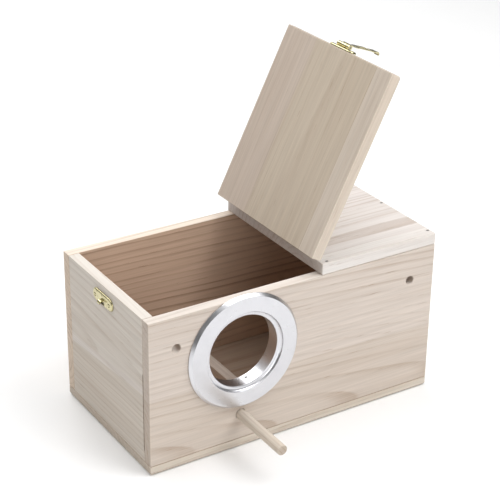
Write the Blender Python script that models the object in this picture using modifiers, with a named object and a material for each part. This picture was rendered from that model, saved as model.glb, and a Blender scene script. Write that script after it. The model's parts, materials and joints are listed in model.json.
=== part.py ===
"""Wooden nest box for small parrots.

Six glued and nailed boards make the case, a short top board is nailed over the right
end, and a lid board swings on two brass hinges over the left end.  The entry hole is
lined with a turned aluminium ring, a dowel perch stands below it, and a brass hasp on
the lid's free end drops over a hook on the left end board.

Frame: origin at the centre of the floor's underside, +X to the right end, +Y to the
back, +Z up.  Every piece is laid out with the lid shut; the lid and the hasp are then
turned about their pins.  Metres and radians throughout.
"""

import math
from collections import namedtuple

import bmesh
import bpy
from mathutils import Matrix, Vector

# Case
LENGTH = 0.300             # left end to right end
DEPTH = 0.160              # front face to back face
HEIGHT = 0.1615            # underside of the floor to the top of the shut lid
WALL_T = 0.0105            # front, back and end boards
FLOOR_T = 0.0092
TOP_T = 0.0108             # fixed top and lid
LID_LENGTH = 0.174         # left end to the seam between the lid and the fixed top
GAP = 0.0003               # between pieces that touch
SEAM_GAP = 0.0006          # between the lid and the fixed top
ARRIS = 0.0004             # sanded edges of the boards
FLOOR_ROUND = 0.0028       # rounded lower edges of the floor
LID_ROUND = 0.0030         # rounded free edge of the lid

# Nest threshold, the low board across the floor
THRESHOLD_FROM_LEFT = 0.1153
THRESHOLD_RISE = 0.0205

# Holes for the screws that hold the box to a cage
FIXING_HOLE_R = 0.0042
FIXING_FROM_END = 0.0268
FIXING_BELOW_RIM = 0.0306

# Entry ring
RING_FROM_LEFT = 0.0933
RING_BORE_R = 0.0346
SLEEVE_WALL = 0.0018
SLEEVE_PROUD = 0.0024      # how far the sleeve passes the inner face of the board
FLANGE_WIDTH = 0.0209      # from the bore to the rim of the flange
FLANGE_T = 0.0038
FLANGE_EDGE = 0.0010       # straight part of the flange's rim
FLANGE_CHAMFER = 0.0025    # width of the chamfer round the rim
LEAD_IN_WIDTH = 0.0044     # cove that leads from the flange's face into the bore
LEAD_IN_DEPTH = 0.0030
RING_BRIDGE = 0.0152       # wood left between the ring's hole and the rim
RING_NAIL_FROM_FRONT = 0.0080
RING_NAIL_ANGLES = (-76.5, 43.5, 163.5)

# Perch
PERCH_R = 0.0049
PERCH_REACH = 0.0680
PERCH_CHAMFER = 0.0008
PERCH_BELOW_FLANGE = 0.0035
PERCH_FROM_RING = -0.0021    # how far the perch stands off the ring's centre, to the left

# Hinges
LID_OPEN = math.radians(116.3)
HINGE_RISE = 0.0025        # height of the pin above the top boards
HINGE_FROM_FACE = 0.0350   # centre of each hinge from the front or back face
HINGE_LENGTH = 0.0250
LEAF_REACH = 0.0110
LEAF_T = 0.0010
KNUCKLE_R = 0.0019
MID_KNUCKLE = 0.0084       # length of the lid's knuckle
PIN_R = 0.0008
PIN_CLEARANCE = 0.0002
HINGE_NAIL_OUT = 0.0072    # nails of a leaf, from the pin
HINGE_NAIL_APART = 0.0160

# Latch: a plate and a hasp on the lid, a catch plate with a hook on the end board
HASP_FOLD = math.radians(174.0)
PLATE_T = 0.0010
LATCH_PLATE_WIDTH = 0.0340
LATCH_PLATE_MARGIN = 0.0007
LATCH_RISE = 0.0042        # height of the hasp's pin above the lid's end
LATCH_KNUCKLE_R = 0.0021
LATCH_BARREL = 0.0180      # length of the pin
HASP_NECK = 0.0082
HASP_WIDTH = 0.0130
HASP_TIP_WIDTH = 0.0084
HASP_T = 0.0009
HASP_OFFSET = 0.0017       # from the pin's axis to the strap's inner face
HASP_REACH = 0.0400
HASP_CURL_R = 0.0025
SLOT_WIDTH = 0.0070
SLOT_ABOVE = 0.0040        # slot above and below the hook's root
SLOT_BELOW = 0.0080
CATCH_WIDTH = 0.0360
CATCH_HEIGHT = 0.0118
CATCH_ROUND = 0.0055
CATCH_T = 0.0012
CATCH_BELOW_RIM = 0.0128   # centre of the catch plate below the rim
HOOK_BELOW_CENTRE = 0.0008 # underside of the hook below the catch plate's centre
HOOK_WIDTH = 0.0050
HOOK_REACH = 0.0044
HOOK_DROP = 0.0044
HOOK_T = 0.0009
LANCE_WIDTH = 0.0060
LANCE_HEIGHT = 0.0036
CATCH_NAIL_APART = 0.0260
LATCH_NAIL_APART = 0.0266

# Nails: shank radius, head radius, head thickness and length
Nail = namedtuple("Nail", "shank_r head_r head_t length")
NAIL_GRIP = 0.0140         # depth of a brad in the second board
TOP_BRAD = Nail(0.0007, 0.0012, 0.0006, TOP_T + NAIL_GRIP)
FLOOR_BRAD = Nail(0.0007, 0.0013, 0.0006, FLOOR_T + NAIL_GRIP)
RING_BRAD = Nail(0.0006, 0.0011, 0.0005, 0.0085)
TACK = Nail(0.0006, 0.0013, 0.0005, 0.0085)
POINT = 0.0014             # length of a nail's point
TOP_NAIL_FROM_FACE = 0.0037
TOP_NAIL_FROM_SEAM = 0.0070
TOP_NAIL_FROM_END = 0.0028
CORNER_NAIL_FROM_FACE = 0.0086
FLOOR_NAIL_FROM_END = 0.0300

# Roundness
HOLE_SIDES = 28
RING_SIDES = 64
ROD_SIDES = 16
NAIL_SIDES = 10

# Places that follow from the sizes above
LEFT = -LENGTH / 2
RIGHT = LENGTH / 2
FRONT = -DEPTH / 2
BACK = DEPTH / 2
WALL_FOOT = FLOOR_T + GAP
WALL_TOP = HEIGHT - TOP_T - GAP
SEAM = LEFT + LID_LENGTH
INNER_HALF_DEPTH = DEPTH / 2 - WALL_T - GAP
SLEEVE_R = RING_BORE_R + SLEEVE_WALL
FLANGE_R = RING_BORE_R + FLANGE_WIDTH
RING_X = LEFT + RING_FROM_LEFT
RING_Z = WALL_TOP - RING_BRIDGE - SLEEVE_R - GAP
PERCH_X = RING_X + PERCH_FROM_RING
PERCH_Z = RING_Z - FLANGE_R - PERCH_BELOW_FLANGE - PERCH_R
FIXING_Z = WALL_TOP - FIXING_BELOW_RIM
PIN_HOLE_R = PIN_R + PIN_CLEARANCE
LID_PIN = Vector((SEAM, 0.0, HEIGHT + HINGE_RISE))
HASP_PIN = Vector((LEFT - LATCH_RISE, 0.0, HEIGHT - TOP_T / 2))
CATCH_Z = WALL_TOP - CATCH_BELOW_RIM
HOOK_Z = CATCH_Z - HOOK_BELOW_CENTRE

# Finishes: colour, roughness, metallic
Finish = namedtuple("Finish", "colour roughness metallic")
BOARD = Finish((0.68, 0.59, 0.49), 0.62, 0.0)
TOP_BOARD = Finish((0.76, 0.70, 0.65), 0.62, 0.0)
DOWEL = Finish((0.66, 0.57, 0.47), 0.58, 0.0)
ALUMINIUM = Finish((0.80, 0.80, 0.82), 0.22, 1.0)
BRASS = Finish((0.72, 0.60, 0.28), 0.25, 1.0)
STEEL = Finish((0.30, 0.29, 0.28), 0.45, 1.0)

# A pin that pieces turn on: its empty, and where its axis is while the lid is shut
Pin = namedtuple("Pin", "empty at")

# Lays an outline drawn across and up onto a face that looks to the left
FACING_LEFT = Matrix(((0, 0, 1, 0), (1, 0, 0, 0), (0, 1, 0, 0), (0, 0, 0, 1)))


def clear_scene():
    for obj in list(bpy.data.objects):
        bpy.data.objects.remove(obj, do_unlink=True)


def new_collection(name):
    collection = bpy.data.collections.new(name)
    bpy.context.scene.collection.children.link(collection)
    return collection


def place(obj, collection, pin=None):
    """Link an object and, if it moves, hang it on its pin's empty."""
    collection.objects.link(obj)
    if pin is not None:
        obj.parent = pin.empty
        obj.location -= pin.at
    return obj


def as_part(obj, finish, pin=None):
    """Put a finished piece in the box's collection, with a material of its own."""
    material = bpy.data.materials.new(obj.name)
    material.use_nodes = True
    shader = material.node_tree.nodes["Principled BSDF"]
    shader.inputs["Base Color"].default_value = (*finish.colour, 1.0)
    shader.inputs["Roughness"].default_value = finish.roughness
    shader.inputs["Metallic"].default_value = finish.metallic
    obj.data.materials.append(material)
    return place(obj, PARTS, pin)


def as_cutter(obj, pin=None):
    obj.hide_render = True
    obj.display_type = "WIRE"
    return place(obj, CUTTERS, pin)


def boolean(target, tool, operation):
    modifier = target.modifiers.new(tool.name, "BOOLEAN")
    modifier.operation = operation
    modifier.solver = "EXACT"
    modifier.object = tool


def cut(target, tool):
    boolean(target, tool, "DIFFERENCE")


def add(target, tool):
    boolean(target, tool, "UNION")


def trim(target, tool):
    boolean(target, tool, "INTERSECT")


def mesh_object(name, bm):
    mesh = bpy.data.meshes.new(name)
    bm.to_mesh(mesh)
    bm.free()
    return bpy.data.objects.new(name, mesh)


def box(name, low, high):
    """A block between two corners."""
    low, high = Vector(low), Vector(high)
    bm = bmesh.new()
    bmesh.ops.create_cube(bm, size=1.0)
    bmesh.ops.scale(bm, vec=high - low, verts=bm.verts)
    bmesh.ops.translate(bm, vec=(low + high) / 2, verts=bm.verts)
    return mesh_object(name, bm)


def rod(name, start, end, radius, sides=ROD_SIDES):
    """A round bar between two points."""
    start, end = Vector(start), Vector(end)
    along = end - start
    bm = bmesh.new()
    bmesh.ops.create_cone(bm, cap_ends=True, segments=sides, radius1=radius, radius2=radius,
                          depth=along.length)
    obj = mesh_object(name, bm)
    obj.data.shade_smooth()
    obj.data.set_sharp_from_angle(angle=math.radians(40))
    obj.location = (start + end) / 2
    obj.rotation_mode = "QUATERNION"
    obj.rotation_quaternion = along.to_track_quat("Z", "Y")
    return obj


def turned(name, profile, sides, closed=False):
    """A profile of (radius, height) points, top to bottom on its outer side, turned about Z."""
    edges = [(i, i + 1) for i in range(len(profile) - 1)]
    if closed:
        edges.append((len(profile) - 1, 0))
    mesh = bpy.data.meshes.new(name)
    mesh.from_pydata([(r, 0.0, z) for r, z in profile], edges, [])
    obj = bpy.data.objects.new(name, mesh)
    screw = obj.modifiers.new("Turn", "SCREW")
    screw.axis = "Z"
    screw.steps = sides
    screw.render_steps = sides
    screw.use_merge_vertices = True
    screw.merge_threshold = 0.00001
    screw.use_smooth_shade = True
    return obj


def flat_piece(name, outline, thickness, frame):
    """A sheet with the given outline in its own XY plane, laid into place by frame."""
    curve = bpy.data.curves.new(name, "CURVE")
    curve.dimensions = "2D"
    curve.fill_mode = "BOTH"
    curve.extrude = thickness / 2
    spline = curve.splines.new("POLY")
    spline.points.add(len(outline) - 1)
    for point, (a, b) in zip(spline.points, outline):
        point.co = (a, b, 0.0, 1.0)
    spline.use_cyclic_u = True
    guide = bpy.data.objects.new(name + "_outline", curve)
    CUTTERS.objects.link(guide)
    depsgraph = bpy.context.evaluated_depsgraph_get()
    mesh = bpy.data.meshes.new_from_object(guide.evaluated_get(depsgraph))
    bpy.data.objects.remove(guide, do_unlink=True)
    bm = bmesh.new()
    bm.from_mesh(mesh)
    bmesh.ops.remove_doubles(bm, verts=bm.verts, dist=0.000001)
    bmesh.ops.transform(bm, matrix=frame, verts=bm.verts)
    bmesh.ops.recalc_face_normals(bm, faces=bm.faces)
    bm.to_mesh(mesh)
    bm.free()
    return bpy.data.objects.new(name, mesh)


def ease(obj, width=ARRIS):
    """Take the sharpness off every edge of a board."""
    bevel = obj.modifiers.new("Arris", "BEVEL")
    bevel.width = width
    bevel.segments = 1
    bevel.limit_method = "ANGLE"


def round_over(obj, chosen, width, segments=3):
    """Round the edges whose midpoint passes the test chosen."""
    mesh = obj.data
    weights = mesh.attributes.new("bevel_weight_edge", "FLOAT", "EDGE")
    for edge in mesh.edges:
        ends = [mesh.vertices[i].co for i in edge.vertices]
        weights.data[edge.index].value = 1.0 if chosen((ends[0] + ends[1]) / 2) else 0.0
    bevel = obj.modifiers.new("Round", "BEVEL")
    bevel.width = width
    bevel.segments = segments
    bevel.limit_method = "WEIGHT"


def arc(centre, radius, start, end, steps):
    """Points along an arc, angles in degrees."""
    angles = [math.radians(start + (end - start) * i / steps) for i in range(steps + 1)]
    return [(centre[0] + radius * math.cos(a), centre[1] + radius * math.sin(a)) for a in angles]


def rounded_rectangle(width, height, radius, steps=4):
    """Outline of a rectangle with round corners, centred on the origin."""
    across, up = width / 2 - radius, height / 2 - radius
    corners = ((across, up, 0), (-across, up, 90), (-across, -up, 180), (across, -up, 270))
    outline = []
    for a, b, turn in corners:
        outline += arc((a, b), radius, turn, turn + 90, steps)
    return outline


def nail_profile(kind, clearance=0.0, sunk=True):
    """Half section of a nail, or of the hole it needs when clearance is given."""
    shank = kind.shank_r + clearance
    tip = -kind.length - clearance
    neck = -kind.head_t - clearance
    if clearance and not sunk:
        return [(0.0, kind.head_t), (shank, kind.head_t), (shank, tip + POINT), (0.0, tip)]
    head = kind.head_r + clearance
    top = kind.head_t if clearance else 0.0
    return [(0.0, top), (head, top), (head, neck), (shank, neck), (shank, tip + POINT), (0.0, tip)]


def nail(name, kind, head, direction, through, finish, pin=None, sunk=True):
    """Drive a nail from the top of its head along direction, and bore what it goes through."""
    turn = (-Vector(direction)).to_track_quat("Z", "Y")
    body = turned(name, nail_profile(kind), NAIL_SIDES)
    bore = turned(name + "_bore", nail_profile(kind, GAP, sunk), NAIL_SIDES)
    for obj in (body, bore):
        obj.location = head
        obj.rotation_mode = "QUATERNION"
        obj.rotation_quaternion = turn
    as_part(body, finish, pin)
    as_cutter(bore, pin)
    for target in through:
        cut(target, bore)


def floor_board():
    board = box("floor_board", (LEFT, FRONT, 0.0), (RIGHT, BACK, FLOOR_T))
    round_over(board, lambda middle: middle.z < FLOOR_T / 4, FLOOR_ROUND)
    return as_part(board, BOARD)


def long_board(name, outer, inner):
    near, far = sorted((outer, inner))
    board = box(name, (LEFT, near, WALL_FOOT), (RIGHT, far, WALL_TOP))
    ease(board)
    return as_part(board, BOARD)


def end_board(name, outer, inner):
    near, far = sorted((outer, inner))
    board = box(name, (near, -INNER_HALF_DEPTH, WALL_FOOT), (far, INNER_HALF_DEPTH, WALL_TOP))
    ease(board)
    return as_part(board, BOARD)


def nest_threshold():
    left = LEFT + THRESHOLD_FROM_LEFT
    board = box("nest_threshold", (left, -INNER_HALF_DEPTH, WALL_FOOT),
                (left + WALL_T, INNER_HALF_DEPTH, FLOOR_T + THRESHOLD_RISE))
    ease(board)
    return as_part(board, BOARD)


def fixed_top():
    seam = SEAM + SEAM_GAP / 2
    board = box("fixed_top_board", (seam, FRONT, HEIGHT - TOP_T), (RIGHT, BACK, HEIGHT))
    ease(board)
    return as_part(board, TOP_BOARD)


def lid_board(lid_pin):
    seam = SEAM - SEAM_GAP / 2
    board = box("lid_board", (LEFT, FRONT, HEIGHT - TOP_T), (seam, BACK, HEIGHT))
    round_over(board, lambda middle: middle.x < LEFT + LID_ROUND and middle.z > HEIGHT - TOP_T / 4,
               LID_ROUND)
    return as_part(board, BOARD, lid_pin)


def bore_front(name, front, x, z, radius, sides):
    """A round hole right through the front board."""
    hole = rod(name, (x, FRONT - WALL_T, z), (x, FRONT + 2 * WALL_T, z), radius, sides)
    cut(front, as_cutter(hole))


def fixing_holes(front):
    for x in (LEFT + FIXING_FROM_END, RIGHT - FIXING_FROM_END):
        bore_front("fixing_hole", front, x, FIXING_Z, FIXING_HOLE_R, HOLE_SIDES)


def entry_ring(front):
    """The flange stands on the board's face and the sleeve passes through the board."""
    face = FLANGE_T
    lip_r = RING_BORE_R + LEAD_IN_WIDTH
    cove = arc((lip_r - LEAD_IN_DEPTH, face), LEAD_IN_DEPTH, 0, -70, 3)
    profile = [
        (FLANGE_R - FLANGE_CHAMFER, face),
        (FLANGE_R, FLANGE_EDGE + GAP),
        (FLANGE_R, GAP),
        (SLEEVE_R, GAP),
        (SLEEVE_R, -WALL_T - SLEEVE_PROUD),
        (RING_BORE_R, -WALL_T - SLEEVE_PROUD),
        (RING_BORE_R, face - LEAD_IN_DEPTH - ARRIS),
        *reversed(cove),
    ]
    ring = turned("entry_ring", profile, RING_SIDES, closed=True)
    ring.location = (RING_X, FRONT, RING_Z)
    ring.rotation_euler = (math.pi / 2, 0.0, 0.0)
    as_part(ring, ALUMINIUM)
    bore_front("ring_hole", front, RING_X, RING_Z, SLEEVE_R + GAP, RING_SIDES)
    for number, degrees in enumerate(RING_NAIL_ANGLES, 1):
        angle = math.radians(degrees)
        outward = Vector((math.cos(angle), 0.0, math.sin(angle)))
        head = Vector((RING_X, FRONT + RING_NAIL_FROM_FRONT, RING_Z)) + outward * (RING_BORE_R + GAP)
        nail(f"ring_nail_{number}", RING_BRAD, head, outward, (ring, front), STEEL)


def perch(front):
    inner = -(WALL_T - GAP)
    profile = [
        (0.0, PERCH_REACH),
        (PERCH_R - PERCH_CHAMFER, PERCH_REACH),
        (PERCH_R, PERCH_REACH - PERCH_CHAMFER),
        (PERCH_R, inner),
        (0.0, inner),
    ]
    dowel = turned("perch_dowel", profile, ROD_SIDES)
    dowel.location = (PERCH_X, FRONT, PERCH_Z)
    dowel.rotation_euler = (math.pi / 2, 0.0, 0.0)
    as_part(dowel, DOWEL)
    bore_front("perch_hole", front, PERCH_X, PERCH_Z, PERCH_R + GAP, ROD_SIDES)


def hinge_rod(name, low, high, radius):
    """A round bar along the lid's axis."""
    return rod(name, (SEAM, low, LID_PIN.z), (SEAM, high, LID_PIN.z), radius)


def hinge_leaf(name, side, y, spans, pin):
    """One leaf: a plate on the board and a rolled knuckle over each span of the pin."""
    foot = HEIGHT + GAP
    inner, outer = sorted((SEAM + side * (KNUCKLE_R + GAP), SEAM + side * LEAF_REACH))
    half = HINGE_LENGTH / 2
    leaf = box(name, (inner, y - half, foot), (outer, y + half, foot + LEAF_T))
    as_part(leaf, BRASS, pin)
    for low, high in spans:
        near, far = sorted((SEAM - side * GAP, SEAM + side * (KNUCKLE_R + 2 * GAP)))
        tongue = box(name + "_tongue", (near, y + low, foot), (far, y + high, foot + LEAF_T))
        knuckle = hinge_rod(name + "_knuckle", y + low, y + high, KNUCKLE_R)
        add(leaf, as_cutter(tongue, pin))
        add(leaf, as_cutter(knuckle, pin))
    bore = hinge_rod(name + "_bore", y - half - GAP, y + half + GAP, PIN_HOLE_R)
    cut(leaf, as_cutter(bore, pin))
    return leaf


def hinge(name, y, top, lid, lid_pin):
    half = HINGE_LENGTH / 2
    middle = MID_KNUCKLE / 2
    outer_spans = ((-half, -middle - GAP), (middle + GAP, half))
    middle_span = ((-middle, middle),)
    as_part(hinge_rod(f"{name}_pin", y - half, y + half, PIN_R), STEEL)
    head_top = HEIGHT + GAP + LEAF_T + GAP + TACK.head_t
    for key, side, spans, board, pin in (("top", 1, outer_spans, top, None),
                                         ("lid", -1, middle_span, lid, lid_pin)):
        leaf = hinge_leaf(f"{name}_{key}_leaf", side, y, spans, pin)
        for number, across in enumerate((-HINGE_NAIL_APART / 2, HINGE_NAIL_APART / 2), 1):
            head = Vector((SEAM + side * HINGE_NAIL_OUT, y + across, head_top))
            nail(f"{name}_{key}_nail_{number}", TACK, head, (0, 0, -1), (leaf, board), BRASS,
                 pin, sunk=False)


def latch_rod(name, low, high, radius):
    """A round bar along the hasp's axis."""
    return rod(name, (HASP_PIN.x, low, HASP_PIN.z), (HASP_PIN.x, high, HASP_PIN.z), radius)


def latch_plate(lid, lid_pin):
    """The plate on the lid's free end, with a knuckle at each side of the hasp."""
    height = TOP_T - 2 * LATCH_PLATE_MARGIN
    outline = rounded_rectangle(LATCH_PLATE_WIDTH, height, height / 2 - GAP)
    centre = Vector((LEFT - GAP - PLATE_T / 2, 0.0, HASP_PIN.z))
    plate = flat_piece("latch_plate", outline, PLATE_T, Matrix.Translation(centre) @ FACING_LEFT)
    as_part(plate, BRASS, lid_pin)
    for side in (-1, 1):
        low, high = sorted((side * (HASP_NECK / 2 + GAP), side * LATCH_BARREL / 2))
        web = box("latch_web", (HASP_PIN.x, low, HASP_PIN.z - PLATE_T),
                  (centre.x, high, HASP_PIN.z + PLATE_T))
        add(plate, as_cutter(web, lid_pin))
        add(plate, as_cutter(latch_rod("latch_knuckle", low, high, LATCH_KNUCKLE_R), lid_pin))
    reach = LATCH_BARREL / 2
    cut(plate, as_cutter(latch_rod("latch_bore", -reach - GAP, reach + GAP, PIN_HOLE_R), lid_pin))
    as_part(latch_rod("latch_pin", -reach, reach, PIN_R), STEEL, lid_pin)
    head_x = LEFT - GAP - PLATE_T - GAP - TACK.head_t
    for number, across in enumerate((-LATCH_NAIL_APART / 2, LATCH_NAIL_APART / 2), 1):
        head = Vector((head_x, across, HASP_PIN.z))
        nail(f"latch_nail_{number}", TACK, head, (1, 0, 0), (plate, lid), BRASS, lid_pin,
             sunk=False)


def hasp_side():
    """Side outline of the strap: out from the wall, and down from the pin."""
    inner = LATCH_RISE - HASP_OFFSET
    bend = HASP_REACH - HASP_CURL_R - HASP_T
    centre = (inner + HASP_T + HASP_CURL_R, bend)
    under = arc(centre, HASP_CURL_R + HASP_T, 180, 80, 6)
    over = arc(centre, HASP_CURL_R, 80, 180, 6)
    return [(inner, 0.0), *under, *over, (inner + HASP_T, 0.0)]


def hasp_face():
    """Face outline of the strap: across, and up from the pin."""
    neck, body, tip = HASP_NECK / 2, HASP_WIDTH / 2, HASP_TIP_WIDTH / 2
    shoulder = LATCH_KNUCKLE_R + 3 * GAP
    taper = HASP_REACH - HASP_WIDTH
    right = [(neck, LATCH_KNUCKLE_R), (neck, -shoulder), (body, -shoulder - (body - neck)),
             (body, -taper), (tip, -HASP_REACH + tip / 2), (tip / 2, -HASP_REACH)]
    left = [(-across, up) for across, up in reversed(right)]
    return right + left


def hasp(hasp_pin):
    """The strap that drops over the hook.

    Folded back, its heel comes down on the latch plate and stops it.
    """
    # the side outline is drawn out and down, so out goes to -X and down to -Z
    to_side = Matrix(((-1, 0, 0, LEFT), (0, 0, -1, 0), (0, -1, 0, HASP_PIN.z), (0, 0, 0, 1)))
    strap = flat_piece("latch_hasp", hasp_side(), HASP_WIDTH, to_side)
    as_part(strap, BRASS, hasp_pin)
    room = 4 * LATCH_RISE
    shape = flat_piece("hasp_shape", hasp_face(), room, Matrix.Translation(HASP_PIN) @ FACING_LEFT)
    trim(strap, as_cutter(shape, hasp_pin))
    half = HASP_NECK / 2
    add(strap, as_cutter(latch_rod("hasp_barrel", -half, half, LATCH_KNUCKLE_R), hasp_pin))
    heel_reach = LATCH_RISE - PLATE_T - 2 * GAP
    heel = box("hasp_heel", (HASP_PIN.x - heel_reach, -half, HASP_PIN.z - LATCH_KNUCKLE_R + GAP),
               (HASP_PIN.x, half, HASP_PIN.z - 2 * GAP))
    add(strap, as_cutter(heel, hasp_pin))
    cut(strap, as_cutter(latch_rod("hasp_bore", -HASP_WIDTH, HASP_WIDTH, PIN_HOLE_R), hasp_pin))
    slot = box("hasp_slot", (LEFT - room, -SLOT_WIDTH / 2, HOOK_Z - SLOT_BELOW),
               (LEFT, SLOT_WIDTH / 2, HOOK_Z + SLOT_ABOVE))
    cut(strap, as_cutter(slot, hasp_pin))


def catch_plate(end):
    """The plate below the hasp: a hook is lanced out of it and leaves a window."""
    centre = Vector((LEFT - GAP - CATCH_T / 2, 0.0, CATCH_Z))
    outline = rounded_rectangle(CATCH_WIDTH, CATCH_HEIGHT, CATCH_ROUND)
    plate = flat_piece("catch_plate", outline, CATCH_T, Matrix.Translation(centre) @ FACING_LEFT)
    as_part(plate, BRASS)
    half = HOOK_WIDTH / 2
    root = LEFT - GAP - CATCH_T / 2
    tip = LEFT - GAP - CATCH_T - HOOK_REACH
    shelf = box("hook_shelf", (tip, -half, HOOK_Z), (root, half, HOOK_Z + HOOK_T))
    lip = box("hook_lip", (tip, -half, HOOK_Z + HOOK_T - HOOK_DROP),
              (tip + HOOK_T, half, HOOK_Z + HOOK_T / 2))
    window = box("hook_window", (tip, -LANCE_WIDTH / 2, HOOK_Z - GAP - LANCE_HEIGHT),
                 (LEFT, LANCE_WIDTH / 2, HOOK_Z - GAP))
    cut(plate, as_cutter(window))
    add(plate, as_cutter(shelf))
    add(plate, as_cutter(lip))
    head_x = LEFT - GAP - CATCH_T - GAP - TACK.head_t
    for number, across in enumerate((-CATCH_NAIL_APART / 2, CATCH_NAIL_APART / 2), 1):
        head = Vector((head_x, across, CATCH_Z))
        nail(f"catch_nail_{number}", TACK, head, (1, 0, 0), (plate, end), BRASS, sunk=False)


def top_nails(top, front, back, right):
    near_seam = SEAM + TOP_NAIL_FROM_SEAM
    near_end = RIGHT - TOP_NAIL_FROM_END
    spots = (
        (near_seam, FRONT + TOP_NAIL_FROM_FACE, front),
        (near_end, FRONT + CORNER_NAIL_FROM_FACE, front),
        (near_end, FRONT + DEPTH / 2, right),
        (near_end, BACK - CORNER_NAIL_FROM_FACE, back),
        (near_seam, BACK - TOP_NAIL_FROM_FACE, back),
    )
    for number, (x, y, wall) in enumerate(spots, 1):
        nail(f"top_nail_{number}", TOP_BRAD, (x, y, HEIGHT - GAP), (0, 0, -1), (top, wall), STEEL)


def floor_nails(floor, front, back):
    rows = ((FRONT + WALL_T / 2, front), (BACK - WALL_T / 2, back))
    columns = (LEFT + FLOOR_NAIL_FROM_END, 0.0, RIGHT - FLOOR_NAIL_FROM_END)
    spots = [(x, y, wall) for y, wall in rows for x in columns]
    for number, (x, y, wall) in enumerate(spots, 1):
        nail(f"floor_nail_{number}", FLOOR_BRAD, (x, y, GAP), (0, 0, 1), (floor, wall), STEEL)


def new_pin(name, at, angle, parent=None):
    """An empty on a hinge axis, turned by the angle that the piece stands open."""
    empty = bpy.data.objects.new(name, None)
    empty.empty_display_size = KNUCKLE_R
    empty.location = at if parent is None else at - parent.at
    empty.rotation_euler = (0.0, angle, 0.0)
    empty.parent = None if parent is None else parent.empty
    PARTS.objects.link(empty)
    return Pin(empty, at)


def build():
    lid_pin = new_pin("lid_axis", LID_PIN, LID_OPEN)
    hasp_pin = new_pin("hasp_axis", HASP_PIN, HASP_FOLD, lid_pin)
    floor = floor_board()
    front = long_board("front_board", FRONT, FRONT + WALL_T)
    back = long_board("back_board", BACK, BACK - WALL_T)
    left = end_board("left_end_board", LEFT, LEFT + WALL_T)
    right = end_board("right_end_board", RIGHT, RIGHT - WALL_T)
    top = fixed_top()
    lid = lid_board(lid_pin)
    nest_threshold()
    fixing_holes(front)
    entry_ring(front)
    perch(front)
    for name, y in (("front_hinge", FRONT + HINGE_FROM_FACE), ("back_hinge", BACK - HINGE_FROM_FACE)):
        hinge(name, y, top, lid, lid_pin)
    latch_plate(lid, lid_pin)
    hasp(hasp_pin)
    catch_plate(left)
    top_nails(top, front, back, right)
    floor_nails(floor, front, back)


clear_scene()
PARTS = new_collection("nest_box")
CUTTERS = new_collection("cutters")
build()
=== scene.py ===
"""Wooden nest box for small parrots: boards, entry ring, perch and brass fittings.

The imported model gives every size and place.  Each operator below makes one group of
pieces, hangs it on its body and gives it its finish.  Pieces that move are laid out with
the lid shut and the hasp down, then carried to rest by LID and HASP.
"""

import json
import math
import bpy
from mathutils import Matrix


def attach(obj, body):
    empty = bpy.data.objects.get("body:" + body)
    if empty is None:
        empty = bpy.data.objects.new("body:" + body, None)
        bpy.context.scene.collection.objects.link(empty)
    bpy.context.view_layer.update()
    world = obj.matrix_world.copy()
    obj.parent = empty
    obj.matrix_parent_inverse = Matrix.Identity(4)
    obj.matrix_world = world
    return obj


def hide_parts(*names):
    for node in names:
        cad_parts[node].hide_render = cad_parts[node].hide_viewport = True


bl_info = {
    "name": "Nest Box",
    "version": (1, 0, 0),
    "blender": (4, 5, 0),
    "location": "3D View > Sidebar > Nest Box",
    "description": "Makes the boards, ring, perch and brass fittings of a wooden nest box",
    "category": "Object",
}

from collections import namedtuple

import bmesh
import bpy
from bpy.props import FloatProperty, FloatVectorProperty, IntProperty, PointerProperty
from mathutils import Matrix, Vector

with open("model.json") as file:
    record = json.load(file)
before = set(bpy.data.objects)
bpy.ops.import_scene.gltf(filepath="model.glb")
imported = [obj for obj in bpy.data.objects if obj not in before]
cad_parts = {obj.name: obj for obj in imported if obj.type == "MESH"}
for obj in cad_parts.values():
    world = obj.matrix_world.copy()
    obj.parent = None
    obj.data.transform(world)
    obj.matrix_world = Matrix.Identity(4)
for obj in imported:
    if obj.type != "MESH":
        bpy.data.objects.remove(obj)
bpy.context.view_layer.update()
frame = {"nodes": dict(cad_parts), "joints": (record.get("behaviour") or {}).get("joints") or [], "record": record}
JOINTS = {joint["name"]: joint for joint in frame["joints"]}
BODIES = {node: body for body, nodes in frame["record"]["behaviour"]["bodies"].items()
          for node in nodes}
OPENINGS = {opening["name"]: opening["box_m"]
            for opening in frame["record"]["physics"]["openings"]}


def turn_about(joint_name, angle, at):
    """A turn about a joint's axis through a point."""
    axis = Vector(JOINTS[joint_name]["axis"])
    return Matrix.Translation(at) @ Matrix.Rotation(angle, 4, axis) @ Matrix.Translation(-at)


# From the shut box to the box at rest, for what rides on the lid and for the hasp
LID_PIN = Vector(JOINTS["lid_hinge"]["pos_m"])
LID = turn_about("lid_hinge", -math.radians(JOINTS["lid_hinge"]["range_deg"][0]), LID_PIN)
HASP_PIN = LID.inverted() @ Vector(JOINTS["hasp_swing"]["pos_m"])
HASP_FOLD = -math.radians(JOINTS["hasp_swing"]["range_deg"][0])
HASP = LID @ turn_about("hasp_swing", HASP_FOLD, HASP_PIN)
STILL = Matrix.Identity(4)
LAYOUTS = {"box": STILL, "lid": LID, "hasp": HASP}

# Draws across and up on a face, with the third axis out of the face
LEFT_FACE = Matrix(((0, 0, -1, 0), (-1, 0, 0, 0), (0, 1, 0, 0), (0, 0, 0, 1)))
FRONT_FACE = Matrix(((1, 0, 0, 0), (0, 0, -1, 0), (0, 1, 0, 0), (0, 0, 0, 1)))


def box_of(node, axes=STILL):
    """Lowest and highest corner of a node as it lies in the shut box, along some axes."""
    back = (LAYOUTS[BODIES[node]] @ axes).inverted()
    points = [back @ vertex.co for vertex in frame["nodes"][node].data.vertices]
    low = Vector(min(point[i] for point in points) for i in range(3))
    high = Vector(max(point[i] for point in points) for i in range(3))
    return low, high


def middle_of(node):
    low, high = box_of(node)
    return (low + high) / 2


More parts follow.
